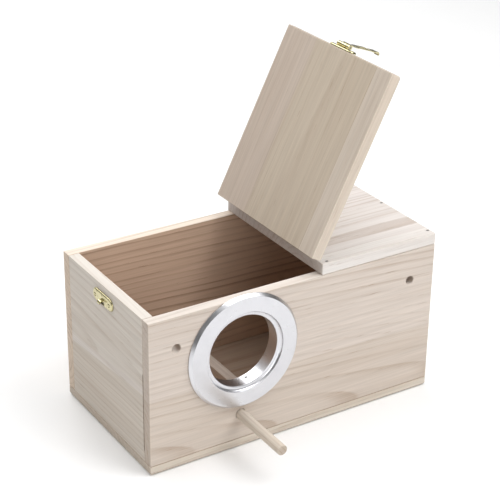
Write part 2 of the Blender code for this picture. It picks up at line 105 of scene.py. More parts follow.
def facing(at, towards):
    """Puts the origin at a point and turns Z to a direction."""
    return Matrix.Translation(at) @ towards.to_track_quat("Z", "Y").to_matrix().to_4x4()


# --- Fits and stock --------------------------------------------------------------------

HAIRLINE = 0.000003
CLEARANCE = 0.0003
FIXING_RADIUS = 0.0042
SLEEVE_RADIUS = 0.0364
PIN_HOLE = 0.0010
PIN_EDGE = 0.0002
BARREL_RADIUS = 0.0021
SHANK_RADIUS = 0.0006
# By the first word of a nail's name: the board it stands in, the piece it holds that has a
# recess for it, and the radius of its head.  Any other nail is a brass tack.
WIRE_NAILS = {"top": ("fixed_top_board", None, 0.0012), "floor": ("floor_board", None, 0.0013),
              "ring": ("front_board", "entry_ring", 0.0011)}
TACK = (None, None, 0.0013)
# Sections of countersinks, as (radius, height) with the wood or sheet below zero
HINGE_SINK = ((0.0, 0.001), (0.0018, 0.001), (0.0016, -0.0002), (0.0009, -0.0009),
              (0.0009, -0.004), (0.0, -0.004))
PLATE_SINK = ((0.0, 0.002), (0.0026, 0.002), (0.0018, -0.0001), (0.0018, -0.003), (0.0, -0.003))
# Angles, in degrees, past which an edge is shaded sharp
BOARD_SHARP, RING_SHARP, METAL_SHARP, ROUNDED_SHARP = 30, 32, 35, 50
# Colours that are mixed or multiplied into the wood's own: worn edges, a painted highlight on the
# upward rims and painted shade on the inner faces; and the colour of the ring's dull patches
WORN, LIT_RIM = (0.80, 0.70, 0.57, 1.0), (0.86, 0.83, 0.79, 1.0)
INSIDE_SHADE = (0.68, 0.49, 0.38, 1.0)
RING_DULL = (0.55, 0.55, 0.57)
EDGE_WEAR = 0.0022
# How far a normal is turned to an axis where a face's own finish starts and is full
TURNED_TO = (0.6, 0.95)
# Faces round a part that is turned
DRILL_STEPS, NAIL_STEPS, DOWEL_STEPS, HOLE_STEPS = 40, 24, 48, 96
DOWEL_ROWS = 24
# Places of a colour mix node's sockets
MIX_FIRST, MIX_SECOND, MIX_COLOUR = 6, 7, 2


# --- Sizes and colours -----------------------------------------------------------------

def length(name, description, default):
    return FloatProperty(name=name, description=description, default=default, min=0.0,
                         unit="LENGTH", precision=4)


def power(name, description, default):
    return FloatProperty(name=name, description=description, default=default, min=0.0,
                         unit="POWER")


def factor(name, description, default):
    return FloatProperty(name=name, description=description, default=default, min=0.0, max=1.0,
                         subtype="FACTOR")


def colour(name, description, default):
    return FloatVectorProperty(name=name, description=description, default=default, size=3,
                               min=0.0, max=1.0, subtype="COLOR")


class NestBoxWood(bpy.types.PropertyGroup):
    pale: colour("Pale wood", "Colour of the wide growth of spring", (0.648, 0.588, 0.508))
    tan: colour("Tan wood", "Colour of the darker staves", (0.545, 0.468, 0.375))
    blush: colour("Blush wood", "Colour of the staves cut near the heart", (0.575, 0.492, 0.450))
    line: colour("Grain line", "Colour of the summer growth between rings", (0.33, 0.225, 0.150))
    rounding: length("Edge rounding", "Radius of the sanded edges", 0.0006)
    floor_rounding: length("Floor rounding", "Radius round the foot of the box", 0.0028)
    lid_rounding: length("Lid rounding", "Radius on the free edge of the lid", 0.0030)
    mouth: length("Hole mouth", "Width of the worn rim of a drilled hole", 0.0005)
    joint_opening: length("Joint opening", "How far the end board's joint has opened", 0.0009)
    ring_width: length("Ring width", "Distance between growth rings", 0.0056)
    # Strength of the painted shade on the inner faces, which stands for the shade inside the box
    inside: factor("Inside", "How much duller the unsanded inner faces are", 0.58)
    relief: length("Relief", "Depth of the grain in the surface", 0.00012)
    roughness: factor("Roughness", "Roughness of the sanded wood", 0.62)


class NestBoxRing(bpy.types.PropertyGroup):
    metal: colour("Aluminium", "Colour of the turned aluminium", (0.69, 0.69, 0.715))
    roughness: factor("Roughness", "Roughness of the turned face", 0.24)
    groove: length("Tool marks", "Depth of the marks that the lathe leaves", 0.000006)
    edge: length("Edge radius", "Radius of the ring's edges", 0.00025)
    lead_in: length("Lead-in", "Width of the hollow that leads into the bore", 0.0044)
    steps: IntProperty(name="Steps", description="Faces round the ring", default=256, min=32)


class NestBoxBrass(bpy.types.PropertyGroup):
    metal: colour("Brass", "Colour of the plated brass", (0.60, 0.545, 0.325))
    tarnish: colour("Tarnish", "Colour of the brass where it has dulled", (0.24, 0.205, 0.10))
    roughness: factor("Roughness", "Roughness of the plating", 0.16)
    plate_rise: length("Plate rise", "How far a pressed plate stands off the wood", 0.0018)
    sheet: length("Sheet", "Thickness of the hinge and hasp sheet", 0.0009)
    edge: length("Edge radius", "Radius of the stamped edges", 0.00018)


class NestBoxSteel(bpy.types.PropertyGroup):
    metal: colour("Steel", "Colour of the bright wire", (0.34, 0.33, 0.32))
    oxide: colour("Oxide", "Colour of the dull skin on the wire", (0.10, 0.09, 0.085))
    roughness: factor("Roughness", "Roughness of the wire", 0.42)


class NestBoxStage(bpy.types.PropertyGroup):
    floor: colour("Floor", "Colour of the floor", (0.90, 0.90, 0.90))
    backdrop: colour("Backdrop", "Colour behind the floor", (1.0, 1.0, 1.0))
    key: power("Key light", "Power of the soft light at the front right", 13.7)
    fill: power("Fill light", "Power of the low light in front", 9.6)
    side: power("Side light", "Power of the light on the left end", 4.8)
    overhead: power("Overhead light", "Power of the large light right above", 9.5)
    back: power("Back light", "Power of the light behind the box", 23.8)
    sky: FloatProperty(name="Sky", description="Brightness of the room above", default=0.82,
                       min=0.0)
    room: FloatProperty(name="Room", description="Brightness of the room at eye level",
                        default=0.25, min=0.0)
    shade: factor("Shade", "Brightness left in the dark parts of the room", 0.12)
    lens: FloatProperty(name="Lens", description="Focal length in millimetres", default=107.49,
                        min=1.0)


# --- Objects and meshes ----------------------------------------------------------------

def new_object(name, mesh):
    obj = bpy.data.objects.new(name, mesh)
    bpy.context.scene.collection.objects.link(obj)
    return obj


def from_bmesh(name, bm):
    mesh = bpy.data.meshes.new(name)
    bm.to_mesh(mesh)
    bm.free()
    return new_object(name, mesh)


def modify(obj, kind, **settings):
    modifier = obj.modifiers.new(kind, kind)
    for key, value in settings.items():
        setattr(modifier, key, value)
    return obj


def freeze(obj):
    """Turn an object's modifiers into its mesh."""
    bpy.context.view_layer.update()
    solid = obj.evaluated_get(bpy.context.evaluated_depsgraph_get())
    mesh = bpy.data.meshes.new_from_object(solid)
    obj.modifiers.clear()
    obj.data = mesh
    return obj


def lay(obj, matrix):
    """Move an object's mesh, and leave the object where it is."""
    obj.data.transform(matrix)
    return obj


def remove(*objects):
    for obj in objects:
        bpy.data.objects.remove(obj, do_unlink=True)


def weld(obj):
    """Close the hairline gaps and slivers that cutting can leave."""
    bm = bmesh.new()
    bm.from_mesh(obj.data)
    bmesh.ops.remove_doubles(bm, verts=bm.verts, dist=HAIRLINE)
    bmesh.ops.dissolve_degenerate(bm, dist=HAIRLINE, edges=bm.edges)
    bm.to_mesh(obj.data)
    bm.free()
    return obj


def bake_booleans(obj, tools, operation):
    """Cut or join meshes drawn in the object's own axes, and drop the tools."""
    for tool in tools:
        modify(obj, "BOOLEAN", operation=operation, object=tool)
    freeze(obj)
    remove(*tools)
    return weld(obj)


def cut(obj, tools):
    return bake_booleans(obj, tools, "DIFFERENCE")


def join(obj, tools):
    return bake_booleans(obj, tools, "UNION")


def smooth(obj, degrees=METAL_SHARP):
    """Smooth shading that leaves the broad faces flat."""
    obj.data.shade_smooth()
    obj.data.set_sharp_from_angle(angle=math.radians(degrees))
    return freeze(modify(obj, "WEIGHTED_NORMAL", weight=100, keep_sharp=True))


def soften(obj, width, segments=3, degrees=40):
    """Round every sharp edge."""
    freeze(modify(obj, "BEVEL", width=width, segments=segments, limit_method="ANGLE",
                  angle_limit=math.radians(degrees)))
    return smooth(obj, ROUNDED_SHARP)


def cuboid(size):
    bm = bmesh.new()
    bmesh.ops.create_cube(bm, size=1.0)
    bmesh.ops.scale(bm, vec=size, verts=bm.verts)
    return bm


def block(name, low, high):
    low, high = Vector(low), Vector(high)
    bm = cuboid(high - low)
    bmesh.ops.translate(bm, vec=(low + high) / 2, verts=bm.verts)
    return from_bmesh(name, bm)


def rod(name, start, end, radius, sides=32):
    start, end = Vector(start), Vector(end)
    bm = bmesh.new()
    bmesh.ops.create_cone(bm, cap_ends=True, segments=sides, radius1=radius, radius2=radius,
                          depth=(end - start).length)
    bmesh.ops.transform(bm, matrix=facing((start + end) / 2, end - start), verts=bm.verts)
    return from_bmesh(name, bm)


def turned(name, profile, steps, closed=False):
    """Turn a profile of (radius, height) points about Z, drawn down its outer side."""
    edges = [(i, i + 1) for i in range(len(profile) - 1)]
    if closed:
        edges.append((len(profile) - 1, 0))
    mesh = bpy.data.meshes.new(name)
    mesh.from_pydata([(r, 0.0, z) for r, z in profile], edges, [])
    obj = new_object(name, mesh)
    return smooth(freeze(modify(obj, "SCREW", axis="Z", steps=steps, render_steps=steps,
                                use_merge_vertices=True, merge_threshold=0.000002)))


def arc(centre, radius, start, end, steps):
    """Points along an arc, angles in degrees."""
    angles = [math.radians(start + (end - start) * i / steps) for i in range(steps + 1)]
    return [(centre[0] + radius * math.cos(a), centre[1] + radius * math.sin(a)) for a in angles]


def stadium(half_width, half_height, corner, steps=7):
    """Outline of a plate with round corners, centred on the origin."""
    across, up = half_width - corner, half_height - corner
    outline = []
    for a, b, turn in ((across, up, 0), (-across, up, 90), (-across, -up, 180), (across, -up, 270)):
        outline += arc((a, b), corner, turn, turn + 90, steps)
    return outline


def extruded(name, outline, low, high):
    """A sheet with the outline in X and Y, from height low to height high."""
    bm = bmesh.new()
    face = bm.faces.new([bm.verts.new((a, b, low)) for a, b in outline])
    grown = bmesh.ops.extrude_face_region(bm, geom=[face])
    moved = [v for v in grown["geom"] if isinstance(v, bmesh.types.BMVert)]
    bmesh.ops.translate(bm, vec=(0, 0, high - low), verts=moved)
    bmesh.ops.recalc_face_normals(bm, faces=bm.faces)
    return from_bmesh(name, bm)


def pressed_plate(name, half_width, half_height, corner, rise, shoulder, rim=0.0005):
    """A pressed plate: a low wall round the outline, then a round shoulder to a flat top."""
    levels = [(0.0, 0.0), (0.0, rim)]
    for inset, height in arc((0.0, 0.0), 1.0, 180, 90, 6)[1:]:
        levels.append(((inset + 1.0) * shoulder, rim + height * (rise - rim)))
    bm = bmesh.new()
    loops = []
    for inset, height in levels:
        outline = stadium(half_width - inset, half_height - inset, max(corner - inset, rim / 2))
        loops.append([bm.verts.new((a, b, height)) for a, b in outline])
    for lower, upper in zip(loops, loops[1:]):
        count = len(lower)
        for i in range(count):
            j = (i + 1) % count
            bm.faces.new((lower[i], lower[j], upper[j], upper[i]))
    bm.faces.new(loops[-1])
    bm.faces.new(list(reversed(loops[0])))
    bmesh.ops.recalc_face_normals(bm, faces=bm.faces)
    return lay(from_bmesh(name, bm), Matrix.Translation((0, 0, CLEARANCE)))


def finish_piece(obj, place, material, node):
    """Place a piece, give it its finish, hang it on its body and let it stand for its node."""
    obj.matrix_world = place
    obj.data.materials.clear()
    obj.data.materials.append(material)
    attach(obj, BODIES[node])
    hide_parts(node)


# --- Shader building -------------------------------------------------------------------

class Shader:
    """Short names for the shader nodes that the finishes are built from."""

    def __init__(self, tree):
        self.tree = tree

    def feed(self, socket, value):
        if isinstance(value, bpy.types.NodeSocket):
            self.tree.links.new(value, socket)
        else:
            socket.default_value = value

    def node(self, kind, *values, **settings):
        """Add a node, set it up and feed its inputs in order."""
        made = self.tree.nodes.new(kind)
        for key, value in settings.items():
            setattr(made, key, value)
        for socket, value in zip(made.inputs, values):
            self.feed(socket, value)
        return made

    def fill(self, made, values):
        for key, value in values.items():
            self.feed(made.inputs[key], value)

    def math(self, operation, *values, clamp=False):
        return self.node("ShaderNodeMath", *values, operation=operation,
                         use_clamp=clamp).outputs[0]

    def plus(self, first, second, clamp=False):
        return self.math("ADD", first, second, clamp=clamp)

    def minus(self, first, second):
        return self.math("SUBTRACT", first, second)

    def times(self, first, second):
        return self.math("MULTIPLY", first, second)

    def linear(self, value, factor, offset):
        return self.math("MULTIPLY_ADD", value, factor, offset)

    def vector(self, operation, *values):
        made = self.node("ShaderNodeVectorMath", *values, operation=operation)
        return made.outputs["Value" if operation in ("LENGTH", "DOT_PRODUCT") else "Vector"]

    def split(self, vector):
        return self.node("ShaderNodeSeparateXYZ", vector).outputs[:3]

    def combine(self, x, y, z):
        return self.node("ShaderNodeCombineXYZ", x, y, z).outputs[0]

    def noise(self, vector, scale=1.0, detail=2.0, roughness=0.5):
        made = self.node("ShaderNodeTexNoise", noise_dimensions="3D")
        self.fill(made, {"Vector": vector, "Scale": scale, "Detail": detail,
                         "Roughness": roughness})
        return made.outputs["Fac"]

    def remap(self, value, low, high, to_low=0.0, to_high=1.0, kind="SMOOTHSTEP"):
        return self.node("ShaderNodeMapRange", value, low, high, to_low, to_high,
                         interpolation_type=kind).outputs["Result"]

    def mix(self, share, first, second, blend="MIX"):
        made = self.node("ShaderNodeMix", data_type="RGBA", blend_type=blend)
        self.fill(made, {"Factor": share, MIX_FIRST: first, MIX_SECOND: second})
        return made.outputs[MIX_COLOUR]

    def group(self, name, **values):
        """Place a node group, built at its first use, with its inputs given as keywords."""
        tree = bpy.data.node_groups.get(name) or GROUPS[name]()
        made = self.node("ShaderNodeGroup", node_tree=tree)
        self.fill(made, {key.replace("_", " ").capitalize(): value
                         for key, value in values.items()})
        return made.outputs

    def bump(self, height, depth):
        made = self.node("ShaderNodeBump")
        self.fill(made, {"Distance": depth, "Height": height})
        return made.outputs["Normal"]


def new_group(name, inputs, outputs):
    """A shader node group: sockets are (name, kind, default) in and (name, kind) out."""
    tree = bpy.data.node_groups.new(name, "ShaderNodeTree")
    for label, kind, default in inputs:
        socket = tree.interface.new_socket(label, in_out="INPUT", socket_type="NodeSocket" + kind)
        if default is not None:
            socket.default_value = default
    for label, kind in outputs:
        tree.interface.new_socket(label, in_out="OUTPUT", socket_type="NodeSocket" + kind)
    made = Shader(tree)
    return made, made.node("NodeGroupInput").outputs, made.node("NodeGroupOutput").inputs


def grain_group():
    """Solid wood: growth rings round a heart line, so faces show lines and ends show arcs."""
    black = (0.0, 0.0, 0.0, 1.0)
    s, given, out = new_group("Grain", (
        ("Place", "Vector", None), ("Seed", "Float", 0.0), ("Stave", "Float", 0.0),
        ("Pale", "Color", black), ("Tan", "Color", black), ("Blush", "Color", black),
        ("Line", "Color", black), ("Ring width", "Float", 0.005), ("Lines", "Float", 0.5),
        ("Tilt", "Float", 0.0), ("End", "Float", 0.0),
    ), (("Colour", "Color"), ("Roughness", "Float"), ("Height", "Float")))
    x, y, z = s.split(given["Place"])
    chance = s.node("ShaderNodeTexWhiteNoise", noise_dimensions="1D")
    s.feed(chance.inputs["W"], s.plus(s.times(given["Stave"], 17.3), given["Seed"]))
    red, green, blue = s.split(chance.outputs["Color"])
    shift = s.times(given["Seed"], 3.17)

    def stretched(along, across, detail=2.0, roughness=0.5):
        """Noise drawn out along the grain."""
        return s.noise(s.combine(s.linear(x, along, shift), s.linear(y, across, shift),
                                 s.linear(z, across, red)), 1.0, detail, roughness)

    wander = s.times(s.minus(stretched(6.0, 14.0, 1.0), 0.5), 0.009)
    heart_y = s.times(s.minus(red, 0.5), 0.14)
    heart_z = s.linear(green, 0.05, 0.022)
    slope = s.times(s.minus(blue, 0.5), given["Tilt"])
    off_y = s.plus(s.minus(y, heart_y), wander)
    off_z = s.plus(s.plus(z, heart_z), s.times(x, slope))
    radius = s.math("SQRT", s.plus(s.times(off_y, off_y), s.times(off_z, off_z)))
    uneven = s.noise(s.combine(s.times(radius, 110.0), shift, 0.0), 1.0, 1.0)
    turns = s.plus(s.math("DIVIDE", radius, given["Ring width"]), s.times(uneven, 1.3))
    year = s.math("FRACT", turns)
    summer = s.times(s.remap(year, 0.55, 0.94), s.remap(year, 0.94, 1.0, 1.0, 0.0))
    strength = s.remap(stretched(4.0, 55.0, 1.0), 0.30, 0.72, 0.25, 1.0)
    strength = s.times(strength, s.remap(given["Stave"], 0.0, 0.3, 0.25, 1.0))
    lines = s.times(s.times(summer, strength), given["Lines"])
    fibre = stretched(14.0, 620.0, 3.0, 0.6)
    streak = stretched(5.0, 120.0, 3.0, 0.6)
    cloud = stretched(4.0, 12.0, 2.0)
    pores = s.times(s.remap(stretched(60.0, 1000.0, 1.0), 0.62, 0.74), s.remap(year, 0.55, 0.95))
    tone = s.plus(given["Stave"], s.times(s.minus(cloud, 0.5), 0.55), clamp=True)
    glue = s.remap(given["Stave"], 1.1, 1.6, 0.0, 0.45)
    base = s.mix(tone, given["Pale"], given["Tan"])
    base = s.mix(s.times(s.remap(blue, 0.25, 0.9), 0.55), base, given["Blush"])
    for share in (s.remap(streak, 0.42, 0.80, 0.0, 0.22), s.times(lines, 0.55),
                  s.times(pores, 0.45), glue, s.times(given["End"], 0.22)):
        base = s.mix(share, base, given["Line"])
    shade = s.remap(fibre, 0.25, 0.75, 0.90, 1.08, "LINEAR")
    shade = s.times(shade, s.linear(given["End"], -0.08, 1.0))
    base = s.mix(1.0, base, s.combine(shade, shade, shade), "MULTIPLY")
    s.feed(out["Colour"], base)
    s.feed(out["Roughness"], s.remap(fibre, 0.3, 0.7, -0.05, 0.06, "LINEAR"))
    raised = s.plus(s.times(lines, 0.5), s.times(fibre, 0.35))
    s.feed(out["Height"], s.minus(raised, s.times(pores, 0.8)))
    return s.tree


def edge_group():
    """How near a point is to the edges of a block, for sanded and handled edges."""
    s, given, out = new_group("Edge wear", (
        ("Place", "Vector", None), ("Half size", "Vector", None), ("Width", "Float", 0.002),
    ), (("Mask", "Float"),))
    reach = s.vector("SUBTRACT", given["Half size"], s.vector("ABSOLUTE", given["Place"]))
    a, b, c = s.split(reach)
    least = s.math("MINIMUM", s.math("MINIMUM", a, b), c)
    most = s.math("MAXIMUM", s.math("MAXIMUM", a, b), c)
    total = s.plus(s.plus(a, b), c)
    second = s.minus(s.minus(total, least), most)
    ragged = s.linear(s.noise(given["Place"], 260.0, 3.0), 1.4, 0.3)
    s.feed(out["Mask"], s.remap(second, 0.0, s.times(given["Width"], ragged), 1.0, 0.0))
    return s.tree


def wear_group():
    """Dull patches and fine scratches on bright metal."""
    s, given, out = new_group("Metal wear", (
        ("Place", "Vector", None), ("Size", "Float", 0.004), ("Amount", "Float", 0.5),
    ), (("Dull", "Float"), ("Roughness", "Float"), ("Height", "Float")))
    scale = s.math("DIVIDE", 1.0, given["Size"])
    patch = s.noise(given["Place"], scale, 4.0, 0.6)
    fine = s.noise(given["Place"], s.times(scale, 9.0), 3.0, 0.6)
    dull = s.times(s.remap(patch, 0.45, 0.75), given["Amount"])
    s.feed(out["Dull"], dull)
    s.feed(out["Roughness"], s.linear(fine, 0.10, s.times(dull, 0.22)))
    s.feed(out["Height"], s.plus(s.times(fine, 0.3), patch))
    return s.tree


GROUPS = {"Grain": grain_group, "Edge wear": edge_group, "Metal wear": wear_group}


def new_material(name):
    material = bpy.data.materials.new(name)
    material.use_nodes = True
    shader = Shader(material.node_tree)
    principled = material.node_tree.nodes["Principled BSDF"]
    place = shader.node("ShaderNodeTexCoord").outputs
    return material, shader, principled, place


def rgba(value):
    return (*value, 1.0)


# Staves are (start across the board, tone) and slant leans them; lines is the strength of the
# grain, tilt how far its rings run out, tint multiplies the colours and on some boards paints in
# light, inner is the side of the board (1 or -1) that is darkened and warmed as painted shade of
# the box's inside, and planed is the strength of a painted highlight on the upward rim
Wood = namedtuple("Wood", "seed staves slant lines tilt tint inner planed",
                  defaults=(0.0, 0.8, 0.35, (1.0, 1.0, 1.0), 0, 0.0))


def wood_material(name, half_size, wood, along_z=False):
    """Solid wood for a block of the given half size, with X along the grain."""
    look = bpy.context.scene.nest_box_wood
    material, s, principled, place = new_material(name)
    point = place["Object"]
    if along_z:
        x, y, z = s.split(point)
        point = s.combine(z, y, x)
    x, y, _ = s.split(point)
    across = s.math("DIVIDE", s.linear(x, wood.slant, y), 2 * half_size[1])
    ramp = s.node("ShaderNodeValToRGB")
    ramp.color_ramp.interpolation = "CONSTANT"
    stops = ramp.color_ramp.elements
    for index, (start, tone) in enumerate(wood.staves):
        stop = stops[index] if index < 2 else stops.new(start)
        stop.position = start
        stop.color = (tone, tone, tone, 1.0)
    if len(wood.staves) == 1:
        stops.remove(stops[1])
    s.feed(ramp.inputs[0], s.plus(across, 0.5))
    normal = s.split(place["Normal"])
    end = s.remap(s.math("ABSOLUTE", normal[2 if along_z else 0]), *TURNED_TO)
    tones = [rgba([a * b for a, b in zip(tone, wood.tint)])
             for tone in (look.pale, look.tan, look.blush)]
    grain = s.group("Grain", place=point, seed=wood.seed, stave=ramp.outputs[0], pale=tones[0],
                    tan=tones[1], blush=tones[2], line=rgba(look.line),
                    ring_width=look.ring_width, lines=wood.lines, tilt=wood.tilt, end=end)
    edges = s.group("Edge wear", place=point, half_size=half_size, width=EDGE_WEAR)
    # worn first holds the wood with its worn edges, then also the painted highlight and painted shade below
    worn = s.mix(s.times(edges["Mask"], 0.10), grain["Colour"], WORN)
    # Painted highlight: the rim, the face turned up to the light, is mixed paler
    if wood.planed:
        worn = s.mix(s.remap(normal[1], *TURNED_TO, 0.0, wood.planed), worn, LIT_RIM)
    # Painted shade: the inner faces are darkened and warmed to stand for the shade inside the box
    if wood.inner:
        inner_shade_mask = s.remap(s.times(normal[2], float(wood.inner)), *TURNED_TO)
        worn = s.mix(s.times(inner_shade_mask, look.inside), worn, s.mix(1.0, worn, INSIDE_SHADE, "MULTIPLY"))
    s.fill(principled, {"Base Color": worn, "Specular IOR Level": 0.35,
                        "Roughness": s.plus(grain["Roughness"], look.roughness),
                        "Normal": s.bump(grain["Height"], look.relief)})
    return material


def metal_material(name, bright, dull, roughness, size, amount, grooves=0.0):
    """Bright metal with dull patches; grooves are the lathe's rings about Z."""
    material, s, principled, place = new_material(name)
    wear = s.group("Metal wear", place=place["Object"], size=size, amount=amount)
    height, depth = wear["Height"], 0.00003
    if grooves:
        x, y, z = s.split(place["Object"])
        reach = s.vector("LENGTH", s.combine(x, y, 0.0))
        marks = s.noise(s.combine(s.times(reach, 2600.0), z, 0.0), 1.0, 2.0)
        height, depth = s.plus(s.times(height, 0.25), marks), grooves
    s.fill(principled, {"Base Color": s.mix(wear["Dull"], rgba(bright), rgba(dull)),
                        "Roughness": s.plus(wear["Roughness"], roughness), "Metallic": 1.0,
                        "Normal": s.bump(height, depth)})
    return material


def brass_material(name, amount=0.55):
    look = bpy.context.scene.nest_box_brass
    return metal_material(name, look.metal, look.tarnish, look.roughness, size=0.003,
                          amount=amount)


def steel_material(name):
    look = bpy.context.scene.nest_box_steel
    return metal_material(name, look.metal, look.oxide, look.roughness, size=0.0012, amount=0.8)


# --- Boards ----------------------------------------------------------------------------

Board = namedtuple("Board", "node along across wood")
RIGHTWARD, BACKWARD, UPWARD = Vector((1, 0, 0)), Vector((0, 1, 0)), Vector((0, 0, 1))
BOARDS = (
    Board("front_board", RIGHTWARD, UPWARD,
          Wood(2.4, ((0.0, 0.78), (0.43, 0.10), (0.82, 0.25)), 0.02, 0.95, 0.25,
               inner=-1, planed=0.25)),
    # The back board's colours are multiplied brighter: painted light on the inside of the back wall
    Board("back_board", RIGHTWARD, UPWARD,
          Wood(5.1, ((0.0, 0.45), (0.36, 0.35), (0.71, 0.55)), -0.01, 1.0, 0.2,
               (1.30, 1.24, 1.16), 1, 0.2)),
    Board("left_end_board", BACKWARD, UPWARD,
          Wood(7.7, ((0.0, 0.72), (0.43, 0.0), (0.48, 0.42)), 0.09, 0.55, 0.2,
               (0.98, 1.0, 1.05), 1, 0.25)),
    Board("right_end_board", BACKWARD, UPWARD,
          Wood(9.3, ((0.0, 0.30), (0.40, 0.58), (0.75, 0.20)), -0.04, 0.6, 0.4,
               inner=-1, planed=0.25)),
    Board("floor_board", RIGHTWARD, BACKWARD,
          Wood(11.9, ((0.0, 0.35), (0.5, 0.55)), 0.0, 0.7, 0.3, inner=1)),
    Board("nest_threshold", BACKWARD, UPWARD,
          Wood(13.2, ((0.0, 0.50),), 0.0, 0.8, 0.3)),
    # The fixed top's colours are multiplied paler and bluer: painted light on its face turned up to the light
    Board("fixed_top_board", RIGHTWARD, BACKWARD,
          Wood(15.6, ((0.0, 0.0), (0.09, 0.20), (0.52, 0.24)), 0.0, 0.85, 0.04,
               (1.10, 1.15, 1.27), -1)),
    Board("lid_board", RIGHTWARD, BACKWARD,
          Wood(18.5, ((0.0, 0.30), (0.131, 1.5), (0.136, 0.9), (0.38, 0.8), (0.70, 1.0)), 0.0,
               0.36, 0.05, (0.965, 0.94, 0.91))),
)


def board_block(name, size, big_edges, big_radius, radius):
    """A board about its own centre: chosen edges well rounded, the others only sanded."""
    bm = cuboid(size)
    if big_edges:
        chosen = [e for e in bm.edges if big_edges((e.verts[0].co + e.verts[1].co) / 2)]
        bmesh.ops.bevel(bm, geom=chosen, offset=big_radius, segments=6, profile=0.5,
                        affect="EDGES", clamp_overlap=True)
    sharp = [e for e in bm.edges if e.calc_face_angle(0.0) > math.radians(ROUNDED_SHARP)]
    bmesh.ops.bevel(bm, geom=sharp, offset=radius, segments=3, profile=0.5, affect="EDGES",
                    clamp_overlap=True)
    return smooth(from_bmesh(name, bm), BOARD_SHARP)


def drilled(name, start, end, radius, mouth):
    """A drill with a flared start, for a hole with a worn rim."""
    start, end = Vector(start), Vector(end)
    depth = (end - start).length
    past = 4 * mouth
    profile = [(0.0, past), (radius + mouth + past, past), (radius + mouth, 0.0),
               (radius, -mouth), (radius, -depth), (0.0, -depth)]
    return lay(turned(name, profile, DRILL_STEPS), facing(start, start - end))


class NESTBOX_OT_boards(bpy.types.Operator):
    """Make the case boards, the threshold, the fixed top and the lid"""

    bl_idname = "nestbox.boards"
    bl_label = "Boards"

    def execute(self, context):
        look = context.scene.nest_box_wood
        for board in BOARDS:
            self.make(board, look)
        return {"FINISHED"}

    def make(self, board, look):
        through = board.along.cross(board.across)
        axes = Matrix((board.along, board.across, through)).transposed().to_4x4()
        low, high = box_of(board.node, axes)
        size = high - low
        place = LAYOUTS[BODIES[board.node]] @ axes @ Matrix.Translation((low + high) / 2)
        big_edges, big_radius = self.rounded_edges(board.node, size, look)
        obj = board_block(board.node + "_wood", size, big_edges, big_radius, look.rounding)
        tools = [lay(tool, place.inverted()) for tool in self.holes(board.node, look)]
        if tools:
            smooth(cut(obj, tools), BOARD_SHARP)
        material = wood_material(board.node, size / 2, board.wood)
        finish_piece(obj, place, material, board.node)

    def rounded_edges(self, node, size, look):
        if node == "floor_board":
            return (lambda middle: middle.z < -size.z / 4), look.floor_rounding
        if node == "lid_board":
            return (lambda middle: middle.x < -size.x / 4 and middle.z > size.z / 4
                    and abs(middle.y) < size.y / 4), look.lid_rounding
        return None, 0.0

    def holes(self, node, look):
        """What is drilled or sunk into a board, in the axes of the box at rest."""
        if node == "front_board":
            low, high = box_of(node)
            front, back = low.y, high.y + look.rounding
            for name in ("left_fixing_hole", "right_fixing_hole"):
                at = sum((Vector(corner) for corner in OPENINGS[name]), Vector()) / 2
                yield drilled(name, (at.x, front, at.z), (at.x, back, at.z), FIXING_RADIUS,
                              look.mouth)
            for pierced, radius in (("entry_ring", SLEEVE_RADIUS), ("perch_dowel", perch_radius())):
                at = middle_of(pierced)
                yield rod(pierced + "_hole", (at.x, front - radius, at.z),
                          (at.x, back + radius, at.z), radius + CLEARANCE, HOLE_STEPS)
        if node == "left_end_board":
            low, _ = box_of(node)
            catch = middle_of("catch_plate")
            outside = low.x - 0.001
            recess_half, recess_low, recess_high, recess_depth = 0.0038, 0.0047, 0.0011, 0.008
            yield block("catch_recess", (outside, -recess_half, catch.z - recess_low),
                        (low.x + recess_depth, recess_half, catch.z - recess_high))
            joint_low, joint_high, joint_depth = 0.020, 0.097, 0.003
            yield block("opened_joint", (outside, low.y - 0.001, joint_low),
                        (low.x + joint_depth, low.y + look.joint_opening, joint_high))
        for nail in NAILS:
            if nail.into == node and not nail.over:
                yield nail_recess(nail)


# --- Entry ring and perch --------------------------------------------------------------

def perch_radius():
    low, high = box_of("perch_dowel")
    return (high.x - low.x) / 2


